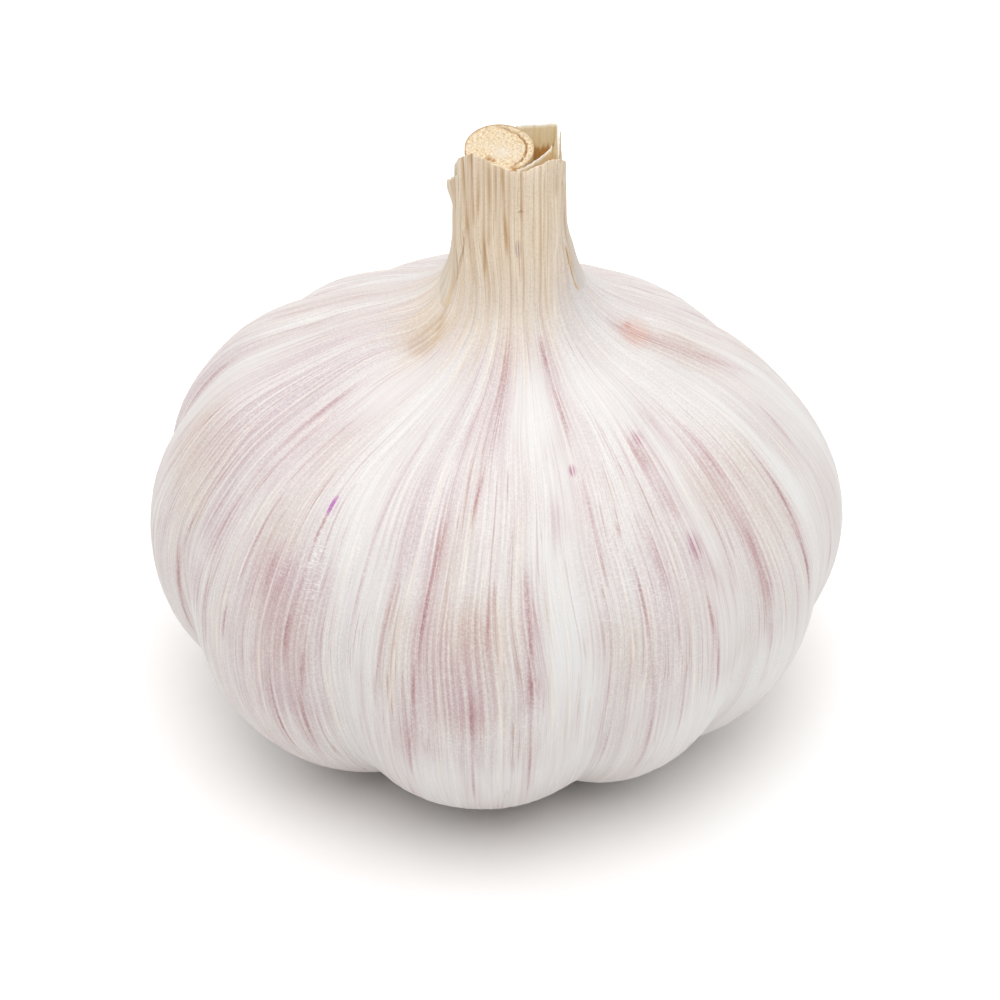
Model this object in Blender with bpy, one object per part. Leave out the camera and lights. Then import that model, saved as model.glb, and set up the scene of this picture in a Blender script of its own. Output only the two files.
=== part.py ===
"""Garlic bulb, standing on its root plate, with its dry neck and cut flower stalk.

Metres, +Z up. The origin is the middle of the root plate's underside, and -Y is the
front. The cloves under their paper wrapper are one lobed body. The leaves' dry ends,
the stalk and the root plate are pieces of their own.
"""

import math

import bmesh
import bpy
from mathutils import Vector, geometry

MM = 0.001

# The wrapped bulb, as turned before the cloves swell it: radius and height of the
# outline in millimetres, from the edge of the root hollow up to the neck's cut edge.
OUTLINE = [
    (9.6, 1.5), (13.5, 0.6), (19.0, 1.9), (24.8, 6.0), (29.0, 12.4), (30.2, 19.5),
    (28.6, 26.0), (23.5, 32.5), (16.0, 36.9), (11.0, 39.0), (7.6, 40.9), (5.7, 43.2),
    (4.8, 47.0), (4.6, 52.0), (4.6, 56.0),
]
STEPS_BETWEEN_POINTS = 3
TURN_STEPS = 80

# The hollow under the bulb that takes the root plate.
HOLLOW_RADIUS = 9.3 * MM
HOLLOW_DEPTH = 3.2 * MM

# The cloves: azimuth of the groove on each clove's left side in degrees, counted from
# the front towards +X, that groove's depth, and how far the clove swells at its crown,
# both in millimetres.
CLOVES = [
    (19, 2.2, -0.6), (47, 1.8, -0.5), (74, 1.5, -0.1), (115, 1.7, -1.5), (150, 1.7, -1.4),
    (208, 1.5, -0.8), (232, 1.5, 0.3), (259, 2.0, 0.0), (292, 2.4, 0.4), (332, 3.0, 0.6),
]
CROWN_POWER = 2.2
GROOVE_FILLET = 0.15
# Cloves swell fully from the outer radius on, and not at all inside the inner one. Above
# the widest place the wrapper spans the grooves and makes them shallower.
SWELL_INNER_RADIUS = 5.0 * MM
SWELL_OUTER_RADIUS = 22.0 * MM
FULL_GROOVE_HEIGHT = 10.0 * MM
SPANNED_GROOVE_HEIGHT = 30.0 * MM
SPANNED_GROOVE_SHARE = 0.5

# The neck is flattened front to back, and is cut lower at the back than at the front.
NECK_BASE_HEIGHT = 38.0 * MM
NECK_TOP_HEIGHT = 56.0 * MM
NECK_DEPTH_RATIO = 0.85
NECK_CORNER_POWER = 2.6
CUT_START_HEIGHT = 46.0 * MM
CUT_DROP_AT_BACK = 5.0 * MM
NECK_WALL = 0.5 * MM
POCKET_FLOOR = 43.0 * MM

# The neck stands a little to the right of the root plate: the skin moves over between
# these heights, and the dry neck comes part of the way back.
LEAN = 1.3 * MM
LEAN_HEIGHTS = (31.0 * MM, 42.0 * MM)
LEAN_BACK = 0.25 * MM
LEAN_BACK_HEIGHTS = (44.0 * MM, 50.0 * MM)

# Gap kept between pieces that touch on the real bulb.
GAP = 0.3 * MM

# The cut flower stalk.
STALK_RADIUS = 2.75 * MM
STALK_TOP = 55.5 * MM
STALK_CUT_SLOPE = math.radians(16)
STALK_STEPS = 40

# The folded inner sheath: its line seen from above, from behind the stalk, round the
# right side and back to the front, in millimetres, low in the neck and at the top.
SHEATH_LINE_LOW = [(1.8, 2.75), (3.1, 2.4), (4.2, 1.6), (4.7, 0.4), (4.3, -0.8), (3.4, -1.8), (2.1, -2.65)]
SHEATH_LINE_TOP = [(1.8, 2.9), (3.4, 3.0), (4.7, 2.8), (4.8, 0.9), (4.4, -0.4), (3.4, -1.5), (2.1, -2.55)]
SHEATH_THICKNESS = 0.3 * MM
SHEATH_BOTTOM = 45.5 * MM
SHEATH_SPREAD_HEIGHT = 51.5 * MM
SHEATH_TOP = 55.9 * MM
SHEATH_LEVELS = 8

# Dry ends of the outermost leaf, lying on the neck: azimuths of both side edges at the
# foot and at the tip, and the heights between which each one lies. The left one is torn
# off broad, and the right one runs out into a sliver that stands above the cut.
LEAF_THICKNESS = 0.3 * MM
LEAF_LEVELS = 12
LEAF_COLUMNS = 10
LEFT_LEAF_FOOT = (-118, -52)
LEFT_LEAF_TIP = (-102, -66)
LEFT_LEAF_HEIGHTS = (42.6 * MM, 53.0 * MM)
RIGHT_LEAF_FOOT = (64, 112)
RIGHT_LEAF_TIP = (96, 101)
RIGHT_LEAF_HEIGHTS = (42.0 * MM, 56.0 * MM)
SLIVER_FOOT_HEIGHT = 53.4 * MM
SLIVER_SLOPE = 0.3

# The root plate with its trimmed roots.
PLATE_RADIUS = 8.8 * MM
PLATE_FOOT_RADIUS = 8.3 * MM
PLATE_HEIGHT = 2.7 * MM
PLATE_STEPS = 48


def clear_scene():
    """Remove every object that the file opens with."""
    for thing in list(bpy.data.objects):
        bpy.data.objects.remove(thing)


def plain_material(name, colour, roughness):
    """Make a plain coloured finish."""
    material = bpy.data.materials.new(name)
    material.use_nodes = True
    shader = material.node_tree.nodes["Principled BSDF"]
    shader.inputs["Base Color"].default_value = (*colour, 1.0)
    shader.inputs["Roughness"].default_value = roughness
    shader.inputs["Metallic"].default_value = 0.0
    return material


def add_object(name, shape, material):
    """Turn a bmesh into a named object with smooth shading."""
    bmesh.ops.recalc_face_normals(shape, faces=shape.faces)
    mesh = bpy.data.meshes.new(name)
    shape.to_mesh(mesh)
    shape.free()
    mesh.materials.append(material)
    mesh.shade_smooth()
    mesh.set_sharp_from_angle(angle=math.radians(40))
    thing = bpy.data.objects.new(name, mesh)
    bpy.context.scene.collection.objects.link(thing)
    return thing


def smooth_line(points, steps):
    """Read evenly stepped points from a smooth curve through the given ones."""
    corners = [Vector((*point, 0.0)) for point in points]
    line = []
    for index in range(len(corners) - 1):
        start = corners[index]
        end = corners[index + 1]
        before = corners[max(index - 1, 0)]
        after = corners[min(index + 2, len(corners) - 1)]
        start_handle = start + (end - before) / 6
        end_handle = end - (after - start) / 6
        stretch = geometry.interpolate_bezier(start, start_handle, end_handle, end, steps + 1)
        line.extend(stretch[:-1])
    line.append(corners[-1])
    return [(point.x, point.y) for point in line]


def ease(value):
    """Ramp smoothly from 0 to 1."""
    value = min(max(value, 0.0), 1.0)
    return value * value * (3.0 - 2.0 * value)


def clove_swell(azimuth, groove_share):
    """Tell how far the cloves move the skin outwards at an azimuth in degrees."""
    for index, (start, start_depth, _) in enumerate(CLOVES):
        end, end_depth, _ = CLOVES[(index + 1) % len(CLOVES)]
        width = (end - start) % 360
        across = ((azimuth - start) % 360) / width
        if across < 1.0:
            break
    hump = 1.0 - abs(2.0 * across - 1.0) ** CROWN_POWER
    hump = (math.hypot(hump, GROOVE_FILLET) - GROOVE_FILLET) / (math.hypot(1.0, GROOVE_FILLET) - GROOVE_FILLET)
    depth = start_depth + (end_depth - start_depth) * across
    return (crown_level(azimuth) - groove_share * depth * (1.0 - hump)) * MM


def crown_level(azimuth):
    """Blend the crowns' levels smoothly from clove to clove."""
    middles = []
    for index, (start, _, level) in enumerate(CLOVES):
        end = CLOVES[(index + 1) % len(CLOVES)][0]
        middles.append(((start + ((end - start) % 360) / 2) % 360, level))
    middles.sort()
    for index, (start, level) in enumerate(middles):
        end, next_level = middles[(index + 1) % len(middles)]
        across = ((azimuth - start) % 360) / ((end - start) % 360)
        if across < 1.0:
            break
    return level + (next_level - level) * ease(across)


def neck_shift(height):
    """Tell how far the skin stands to the right at a height."""
    low, high = LEAN_HEIGHTS
    shift = LEAN * ease((height - low) / (high - low))
    low, high = LEAN_BACK_HEIGHTS
    return shift - LEAN_BACK * ease((height - low) / (high - low))


def skin_point(azimuth, radius, height):
    """Place a point of the turned outline on the lobed bulb and its flattened neck."""
    share = ease((radius - SWELL_INNER_RADIUS) / (SWELL_OUTER_RADIUS - SWELL_INNER_RADIUS))
    spanned = ease((height - FULL_GROOVE_HEIGHT) / (SPANNED_GROOVE_HEIGHT - FULL_GROOVE_HEIGHT))
    radius += share * clove_swell(azimuth, 1.0 - (1.0 - SPANNED_GROOVE_SHARE) * spanned)
    turn = math.radians(azimuth)
    side = math.sin(turn)
    front = math.cos(turn)
    neck = ease((height - NECK_BASE_HEIGHT) / (NECK_TOP_HEIGHT - NECK_BASE_HEIGHT))
    upper = ease((height - NECK_BASE_HEIGHT) / (CUT_START_HEIGHT - NECK_BASE_HEIGHT))
    square = (abs(side) ** NECK_CORNER_POWER + abs(front) ** NECK_CORNER_POWER) ** (-1.0 / NECK_CORNER_POWER)
    radius *= 1.0 + (square - 1.0) * upper
    depth = 1.0 + (NECK_DEPTH_RATIO - 1.0) * neck
    shift = neck_shift(height)
    if height > CUT_START_HEIGHT:
        climb = (height - CUT_START_HEIGHT) / (NECK_TOP_HEIGHT - CUT_START_HEIGHT)
        height -= climb * CUT_DROP_AT_BACK * (1.0 - front) / 2
    return Vector((radius * side + shift, -radius * front * depth, height))


def skin_outline():
    """Give the skin's outline in metres."""
    return [(radius * MM, height * MM) for radius, height in smooth_line(OUTLINE, STEPS_BETWEEN_POINTS)]


def neck_radius(height):
    """Read the neck's radius at a height off the skin's outline."""
    skin = skin_outline()
    for (radius, low), (next_radius, high) in zip(skin, skin[1:]):
        if low > NECK_BASE_HEIGHT and low <= height <= high:
            return radius + (next_radius - radius) * (height - low) / (high - low)
    return skin[-1][0]


def bulb_outline():
    """Give the wrapped bulb's whole outline, from the root hollow to the neck's pocket."""
    skin = skin_outline()
    hollow = [(0.0, HOLLOW_DEPTH), (HOLLOW_RADIUS * 0.5, HOLLOW_DEPTH), (HOLLOW_RADIUS, HOLLOW_DEPTH * 0.85)]
    pocket = [(radius - NECK_WALL, height) for radius, height in reversed(skin) if height > POCKET_FLOOR]
    floor_radius = pocket[-1][0]
    floor = [(floor_radius, POCKET_FLOOR), (floor_radius * 0.5, POCKET_FLOOR), (0.0, POCKET_FLOOR)]
    return hollow + skin + pocket + floor


def turn_outline(outline, steps):
    """Spin an outline that starts and ends on the Z axis into a closed body."""
    shape = bmesh.new()
    points = [shape.verts.new((radius, 0.0, height)) for radius, height in outline]
    edges = [shape.edges.new(pair) for pair in zip(points, points[1:])]
    bmesh.ops.spin(
        shape, geom=points + edges, cent=(0, 0, 0), axis=(0, 0, 1),
        angle=math.tau, steps=steps, use_merge=True,
    )
    bmesh.ops.remove_doubles(shape, verts=shape.verts, dist=0.001 * MM)
    return shape


def make_bulb():
    """Cloves in their paper wrapper, drawn up into the open neck."""
    shape = turn_outline(bulb_outline(), TURN_STEPS)
    for point in shape.verts:
        radius = math.hypot(point.co.x, point.co.y)
        azimuth = math.degrees(math.atan2(point.co.x, -point.co.y))
        point.co = skin_point(azimuth, radius, point.co.z)
    add_object("wrapped_bulb", shape, plain_material("bulb_paper", (0.80, 0.72, 0.70), 0.55))


def make_stalk():
    """The flower stalk's stub, standing in the neck and cut off on a slope."""
    shape = bmesh.new()
    bottom = POCKET_FLOOR + GAP
    bmesh.ops.create_cone(
        shape, cap_ends=True, segments=STALK_STEPS, radius1=STALK_RADIUS, radius2=STALK_RADIUS,
        depth=STALK_TOP - bottom,
    )
    middle = (STALK_TOP + bottom) / 2
    for point in shape.verts:
        if point.co.z > 0:
            point.co.z += point.co.y * math.tan(STALK_CUT_SLOPE)
        point.co.z += middle
    add_object("flower_stalk", shape, plain_material("stalk_pith", (0.70, 0.52, 0.32), 0.8))


def add_wall(name, rows, material, thickness):
    """Join rows of points into a sheet and give the sheet its thickness."""
    shape = bmesh.new()
    rows = [[shape.verts.new(point) for point in row] for row in rows]
    edges = [[shape.edges.new(pair) for pair in zip(row, row[1:])] for row in rows]
    for lower, upper in zip(edges, edges[1:]):
        bmesh.ops.bridge_loops(shape, edges=lower + upper)
    sheet = add_object(name, shape, material)
    wall = sheet.modifiers.new("thickness", "SOLIDIFY")
    wall.thickness = thickness
    wall.offset = 0.0
    wall.use_even_offset = True
    return sheet


def make_inner_sheath():
    """The folded leaf base beside the stalk, round a narrow hollow."""
    low_line = smooth_line(SHEATH_LINE_LOW, 3)
    top_line = smooth_line(SHEATH_LINE_TOP, 3)
    rows = []
    for level in range(SHEATH_LEVELS + 1):
        rise = level / SHEATH_LEVELS
        height = SHEATH_BOTTOM + (SHEATH_TOP - SHEATH_BOTTOM) * rise
        spread = ease((height - SHEATH_SPREAD_HEIGHT) / (SHEATH_TOP - SHEATH_SPREAD_HEIGHT))
        row = []
        for (low_x, low_y), (top_x, top_y) in zip(low_line, top_line):
            x = low_x + (top_x - low_x) * spread
            y = low_y + (top_y - low_y) * spread
            row.append((x * MM, y * MM, height))
        rows.append(row)
    add_wall("inner_sheath", rows, plain_material("sheath_paper", (0.76, 0.62, 0.42), 0.6), SHEATH_THICKNESS)


def make_neck_leaf(name, foot, tip, heights):
    """A dry end of the outermost leaf, lying on the neck with a gap under it."""
    rows = []
    for level in range(LEAF_LEVELS + 1):
        rise = level / LEAF_LEVELS
        height = heights[0] + (heights[1] - heights[0]) * rise
        start = foot[0] + (tip[0] - foot[0]) * rise
        end = foot[1] + (tip[1] - foot[1]) * rise
        row = []
        for column in range(LEAF_COLUMNS + 1):
            azimuth = start + (end - start) * column / LEAF_COLUMNS
            row.append(leaf_point(azimuth, height))
        rows.append(row)
    add_wall(name, rows, plain_material(name + "_paper", (0.74, 0.62, 0.46), 0.6), LEAF_THICKNESS)


def leaf_point(azimuth, height):
    """Place a point of a dry leaf just clear of the neck's skin at that height."""
    radius = neck_radius(height) + GAP + LEAF_THICKNESS / 2
    point = skin_point(azimuth, radius, height)
    point.z = height
    # Above the neck's cut edge the sliver leans in over it.
    point.x -= SLIVER_SLOPE * max(height - SLIVER_FOOT_HEIGHT, 0.0)
    return point


def make_root_plate():
    """The woody root plate with its trimmed roots, flat where the bulb stands on it."""
    outline = [
        (0.0, 0.0), (PLATE_FOOT_RADIUS * 0.5, 0.0), (PLATE_FOOT_RADIUS, 0.0),
        (PLATE_RADIUS, 0.5 * MM), (PLATE_RADIUS, 1.7 * MM), (PLATE_FOOT_RADIUS, PLATE_HEIGHT - 0.4 * MM),
        (PLATE_FOOT_RADIUS * 0.5, PLATE_HEIGHT), (0.0, PLATE_HEIGHT),
    ]
    shape = turn_outline(outline, PLATE_STEPS)
    add_object("root_plate", shape, plain_material("root_wood", (0.40, 0.30, 0.20), 0.85))


clear_scene()
make_bulb()
make_stalk()
make_inner_sheath()
make_neck_leaf("left_neck_leaf", LEFT_LEAF_FOOT, LEFT_LEAF_TIP, LEFT_LEAF_HEIGHTS)
make_neck_leaf("right_neck_leaf", RIGHT_LEAF_FOOT, RIGHT_LEAF_TIP, RIGHT_LEAF_HEIGHTS)
make_root_plate()
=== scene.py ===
import math

import bmesh
import bpy
import numpy as np
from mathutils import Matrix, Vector, noise


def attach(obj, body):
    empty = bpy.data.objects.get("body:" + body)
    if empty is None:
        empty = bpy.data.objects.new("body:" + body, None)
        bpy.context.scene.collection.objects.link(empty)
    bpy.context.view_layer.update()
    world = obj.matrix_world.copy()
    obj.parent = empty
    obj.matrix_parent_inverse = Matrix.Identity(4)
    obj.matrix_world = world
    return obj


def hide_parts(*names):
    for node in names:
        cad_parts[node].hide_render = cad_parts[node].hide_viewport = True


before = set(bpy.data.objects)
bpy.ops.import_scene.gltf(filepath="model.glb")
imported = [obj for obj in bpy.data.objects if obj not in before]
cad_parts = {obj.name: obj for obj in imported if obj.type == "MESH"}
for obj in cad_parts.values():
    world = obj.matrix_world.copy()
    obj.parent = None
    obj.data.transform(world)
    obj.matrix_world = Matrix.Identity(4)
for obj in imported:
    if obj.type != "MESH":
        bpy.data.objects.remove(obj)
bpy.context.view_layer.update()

# ----------------------------------------
# Camera. It looks down on the bulb from straight in front, 34 degrees above the table,
# through a long lens from 0.4 m away.
# ----------------------------------------
lens = bpy.data.cameras.new("camera")
lens.lens = 165
lens.sensor_width = 36
lens.clip_start = 0.01
camera = bpy.data.objects.new("camera", lens)
camera_rise = math.radians(34)
camera_aim = Vector((0.0002, 0, 0.0202))
camera.location = camera_aim + 0.4 * Vector((0, -math.cos(camera_rise), math.sin(camera_rise)))
camera.rotation_euler = (math.pi / 2 - camera_rise, 0, 0)
bpy.context.scene.collection.objects.link(camera)
bpy.context.scene.camera = camera

# ----------------------------------------
# Paper wrapper. The outermost dry leaf of the bulb: pale paper full of fibres that run from
# the root plate over the cloves, drawn in at the grooves between them, and up into the neck,
# where the leaf is cut off. Lengths are in millimetres until the mesh is made.
# ----------------------------------------
MM = 0.001
wrapper_outline = [
    (9.6, 1.5), (13.5, 0.6), (19, 1.9), (24.8, 6), (29, 12.4), (30.2, 19.5), (28.6, 26), (23.5, 32.5),
    (16, 36.9), (11, 39), (7.6, 40.9), (5.7, 43.2), (4.8, 47), (4.6, 52), (4.6, 56),
]
outline_steps = [2, 3, 4, 5, 5, 5, 7, 7, 5, 4, 4, 3, 3, 4]
wrapper_columns = 1110
neck_rows = 22
pocket_floor = 43
neck_top = 56
flat_from = 38
squareness = 2.6
pleats_rise = (39.5, 45)
fold_widened, fold_longest = 0.75, 1.2
beige_valley, beige_ridge = (0.715, 0.565, 0.405), (0.85, 0.74, 0.59)
# Azimuth of the groove on each clove's left side, its depth, the clove's swelling, and how
# much its shoulder adds to that.
cloves = np.array([
    (19, 2.2, -0.6, 0), (47, 1.8, -0.5, 0), (74, 1.5, 0.2, -1.2), (118, 2.2, -1.4, -1),
    (156, 2.4, -1.3, -0.8), (214, 3, -1, -0.4), (233, 1.9, 0.3, -0.2), (261, 2.1, 0.1, 0),
    (292, 2.4, 0.4, 0), (332, 3, 0.6, 0),
])
# How far the cut edge of the neck stands above or below a plain cut, by azimuth.
neck_cut = [
    (-180, 0.2), (-150, -0.4), (-120, 0.1), (-95, -0.6), (-78, 0.2), (-60, 0.9), (-42, 1.25), (-30, 0.85),
    (-16, 0.05), (0, -0.65), (14, -0.6), (28, 0), (44, 0.7), (62, 0.75), (84, 0.55), (112, 0), (150, 0.4),
    (180, 0.2),
]

# The height at which the paper turns from white to the neck's beige, by azimuth.
beige_foot = [
    (-180, 41), (-120, 40.6), (-75, 40), (-52, 39.8), (-30, 40.4), (-5, 40.3), (12, 40.9), (26, 41.4),
    (34, 42), (42, 42.8), (50, 43.5), (61, 44.2), (66, 45), (80, 45), (100, 43.6), (140, 41.2),
    (180, 41),
]

# Edge of the layer that folds over the neck's right side: azimuth by height.
fold_edge = [
    (33, 42), (37.5, 43.5), (41, 45.5), (45.5, 47.3), (51, 48.2), (57, 49.6), (59, 52), (59.5, 55.5),
]


def ease(value):
    """Ramp smoothly from 0 to 1."""
    value = np.clip(value, 0, 1)
    return value * value * (3 - 2 * value)


def ramp(value, start, end):
    """Ramp smoothly from 0 at the start to 1 at the end, which may lie below it."""
    return ease((value - start) / (end - start))


def bell(value, middle, width):
    """Give 1 at a middle value, falling to 0 on both sides."""
    return np.exp(-((value - middle) / width) ** 2)


def smooth_line(points, steps):
    """Read points from a smooth curve through the given ones, some steps for each stretch."""
    points = np.array(points, dtype=float)
    ends = np.vstack([points[:1], points, points[-1:]])
    steps = np.broadcast_to(steps, len(points) - 1)
    line = []
    for index, count in enumerate(steps):
        before, start, end, after = ends[index:index + 4]
        for step in np.arange(count) / count:
            spare = 1 - step
            start_handle = start + (end - before) / 6
            end_handle = end - (after - start) / 6
            line.append(
                spare ** 3 * start + 3 * spare ** 2 * step * start_handle
                + 3 * spare * step ** 2 * end_handle + step ** 3 * end
            )
    line.append(points[-1])
    return np.array(line)


def between(azimuth, starts, values, shape):
    """Blend from one clove's value to the next one's, all the way round."""
    index = (np.searchsorted(starts, azimuth, side="right") - 1) % len(starts)
    after = (index + 1) % len(starts)
    across = np.mod(azimuth - starts[index], 360) / np.mod(starts[after] - starts[index], 360)
    return values[index] + (values[after] - values[index]) * shape(across), across


def clove_swell(azimuth, height):
    """Tell how far the cloves under the paper push it out or let it in."""
    azimuth = np.mod(azimuth, 360)
    grooves, depths, levels, shoulders = cloves.T
    depth, across = between(azimuth, grooves, depths, lambda part: part)
    hump = 1 - np.abs(2 * across - 1) ** 2.2
    hump = (np.hypot(hump, 0.15) - 0.15) / (np.hypot(1, 0.15) - 0.15)
    middles = np.mod(grooves + np.mod(np.roll(grooves, -1) - grooves, 360) / 2, 360)
    order = np.argsort(middles)
    level, _ = between(azimuth, middles[order], levels[order], ease)
    shoulder, _ = between(azimuth, middles[order], shoulders[order], ease)
    shallower = 1 - 0.5 * ramp(height, 10, 30)
    return level + shoulder * ramp(height, 16, 30) - shallower * depth * (1 - hump)


def neck_shift(height):
    """Tell how far the neck stands to the right at a height."""
    return 1.3 * ramp(height, 31, 42) - 0.25 * ramp(height, 44, 50)


def place_on_skin(azimuth, radius, height):
    """Place points of the turned outline on the lobed bulb and its flattened neck."""
    swell_share = ramp(radius, 5, 22)
    radius = radius + swell_share * clove_swell(azimuth, height)
    side = np.sin(np.radians(azimuth))
    front = np.cos(np.radians(azimuth))
    flat = ramp(height, flat_from, 46)
    square = (np.abs(side) ** squareness + np.abs(front) ** squareness) ** (-1 / squareness)
    radius = radius * (1 + (square - 1) * flat)
    depth = 1 - 0.15 * ramp(height, flat_from, neck_top)
    climb = np.clip((height - 46) / 10, 0, None)
    lowered = height - climb * 5 * (1 - front) / 2
    return np.stack([radius * side + neck_shift(height), -radius * front * depth, lowered], axis=-1)


def fibre_ribs(around, along, fewest, most, waves, seed):
    """Give uneven ribs that follow the fibres, about -1 to 1."""
    dice = np.random.default_rng(seed)
    relief = np.zeros_like(around)
    for _ in range(waves):
        count = dice.integers(fewest, most)
        sway = dice.normal(0, 0.05)
        relief += np.cos(count * np.radians(around) + dice.uniform(0, math.tau) + sway * along)
    return relief / math.sqrt(waves)


def pleats(around, along, count, width, seed):
    """Give the rounded pleats of a gathered leaf from 0 to 1, and the narrow grooves between them."""
    dice = np.random.default_rng(seed)
    grooves = np.arange(count) * 360 / count + dice.normal(0, 120 / count, count)
    grooves = np.sort(np.mod(grooves, 360))
    sharpness = 0.6 * dice.uniform(0.2, 1, count) ** 2
    around = np.mod(around + 1.1 * fibre_ribs(around, along, 2, 12, 6, seed + 1), 360)
    index = (np.searchsorted(grooves, around, side="right") - 1) % count
    after = (index + 1) % count
    span = np.mod(grooves[after] - grooves[index], 360)
    across = np.mod(around - grooves[index], 360) / span
    crest = (1 - np.abs(2 * across - 1) ** 2.4) * np.sqrt(span * count / 360)
    depth = np.where(across < 0.5, sharpness[index], sharpness[after])
    groove = depth * np.exp(-(np.minimum(across, 1 - across) * span / width) ** 2)
    return crest, groove


def neck_pleats(around, along):
    """Give the neck's relief in millimetres, how near a crest is, and how deep in a groove."""
    broad, broad_groove = pleats(around, along, 40, 0.9, 4)
    fine, fine_groove = pleats(around, along, 150, 0.5, 14)
    relief = 0.09 * broad - 0.1 * broad_groove + 0.012 * fine - 0.012 * fine_groove - 0.05
    crest = (0.75 * broad + 0.25 * fine).clip(0, 1)
    return relief, crest, np.maximum(broad_groove, 0.35 * fine_groove)


def neck_spread(around, height):
    """Tell how many degrees the fibres move towards the sides up the flattened neck."""
    return 13 * np.sin(2 * np.radians(around)) * ramp(height, 41, 50)


def neck_share(around, height, along):
    """Tell how far the paper has turned from white to the neck's beige."""
    foot = np.interp(around, *np.array(beige_foot).T) + 0.8 * fibre_ribs(around, along * 0, 10, 120, 20, 8)
    return 0.55 * ease((height - foot + 2) / 4.5) + 0.45 * ease((height - foot - 0.5) / 8)


line_steps = 40
foot_end, neck_start, tube_start = 2 * line_steps, 9 * line_steps, 10 * line_steps
outline_line = smooth_line(wrapper_outline, line_steps)
outline_travel = np.concatenate([[0], np.cumsum(np.hypot(*np.diff(outline_line, axis=0).T))])


def travel(height):
    """Tell how far along the leaf a height is, counted from the rim of the root hollow."""
    return np.interp(height, outline_line[foot_end:, 1], outline_travel[foot_end:])


def fibre_sway(around, along):
    """Tell how many degrees the fibres wander to one side as they run over the cloves."""
    sway = fibre_ribs(around, 3 * along, 2, 9, 8, 17) * ramp(along, 26, 46) * ramp(along, 66, 56)
    sway -= 14 * ramp(along, 58.5, 65.5) * bell(around, -70, 22)
    sway -= 6 * ramp(along, 50, 64) * bell(around, -32, 18)
    return sway + 9 * ramp(along, 50, 64) * bell(around, 72, 24)


def neck_radius(height):
    """Read the neck's radius off the outline."""
    return np.interp(height, outline_line[neck_start:, 1], outline_line[neck_start:, 0])


def wrapper_profile():
    """Give the wrapper's whole outline, from the root hollow over the bulb into the neck."""
    bulb = [point for point in smooth_line(wrapper_outline, outline_steps) if point[1] < pocket_floor]
    neck = [(neck_radius(height), height) for height in np.linspace(pocket_floor + 0.3, neck_top, neck_rows)]
    skin = bulb + neck
    pocket = [(radius - 0.5 + 0.3 * ramp(height, 50, 56), height) for radius, height in neck[::-3]]
    hollow = [(0, 3.2), (4.5, 3.2), (8.6, 3), (9.3, 2.6), (9.45, 2)]
    floor = [(radius, pocket_floor) for radius in (pocket[-1][0], 2.5, 0)]
    return [tuple(point) for point in (*hollow, *skin, *pocket, *floor)]


def roll_up(profile, steps):
    """Roll a flat grid up round the axis, so that it closes into a body with this outline."""
    shape = bmesh.new()
    rows = len(profile) - 1
    bmesh.ops.create_grid(shape, x_segments=steps, y_segments=rows, size=0.5)
    for point in shape.verts:
        radius, height = profile[round((point.co.y + 0.5) * rows)]
        turn = (point.co.x + 0.5) * math.tau
        point.co = (radius * math.sin(turn), -radius * math.cos(turn), height)
    bmesh.ops.remove_doubles(shape, verts=shape.verts, dist=0.0005)
    bmesh.ops.recalc_face_normals(shape, faces=shape.faces)
    return shape


def make_piece(name, shape, material):
    """Turn a bmesh into a named, smooth-shaded piece."""
    mesh = bpy.data.meshes.new(name)
    shape.to_mesh(mesh)
    shape.free()
    mesh.materials.append(material)
    mesh.shade_smooth()
    piece = bpy.data.objects.new(name, mesh)
    bpy.context.scene.collection.objects.link(piece)
    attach(piece, "root")
    return piece


def read_points(mesh):
    """Read a mesh's points as rows of x, y, z, with their radius and their azimuth."""
    points = np.empty(len(mesh.vertices) * 3)
    mesh.vertices.foreach_get("co", points)
    points = points.reshape(-1, 3)
    x, y, _ = points.T
    return points, np.hypot(x, y), np.degrees(np.arctan2(x, -y))


def move_points(mesh, points):
    """Move a mesh's points to rows of x, y, z."""
    mesh.vertices.foreach_set("co", np.ascontiguousarray(points, dtype=np.float32).ravel())
    mesh.update()


def write_layers(mesh, **layers):
    """Keep values or vectors on a mesh's points, each layer under its name."""
    for name, values in layers.items():
        values = np.asarray(values, dtype=np.float32)
        kind, field = ("FLOAT", "value") if values.ndim == 1 else ("FLOAT_VECTOR", "vector")
        mesh.attributes.new(name, kind, "POINT").data.foreach_set(field, values.ravel())


def write_grain(mesh, around, along):
    """Keep the direction that the fibres' patterns follow, joined up all the way round."""
    turn = np.radians(around)
    write_layers(mesh, grain=np.stack([np.sin(turn), np.cos(turn), along / 10], axis=-1))


def paint_streaks(streaks, around, height, radius, widened=1, longest=3.5):
    """Give the strength of streaks on the skin: width, strength, then the line's points."""
    mask = np.zeros_like(around)
    for width, strength, *line in streaks:
        width = width * widened
        line = sorted(line, key=lambda point: point[1])
        azimuths, heights = np.array(line, dtype=float).T
        centre = np.interp(height, heights, azimuths)
        away = (np.mod(around - centre + 180, 360) - 180) * np.radians(radius) / (width / 2)
        taper = min(longest, 0.5 * (heights[-1] - heights[0])) + 0.2
        ends = ease((height - heights[0] + 0.6) / taper) * ease((heights[-1] + 0.6 - height) / taper)
        pulse = 0.75 + 0.25 * np.cos(height * (0.4 + 0.6 / (0.5 + width)) + azimuths[0] * 1.7)
        mask = np.maximum(mask, strength * ends * pulse * np.exp(-np.abs(away) ** (3 if width > 1.5 else 2)))
    return mask


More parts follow.
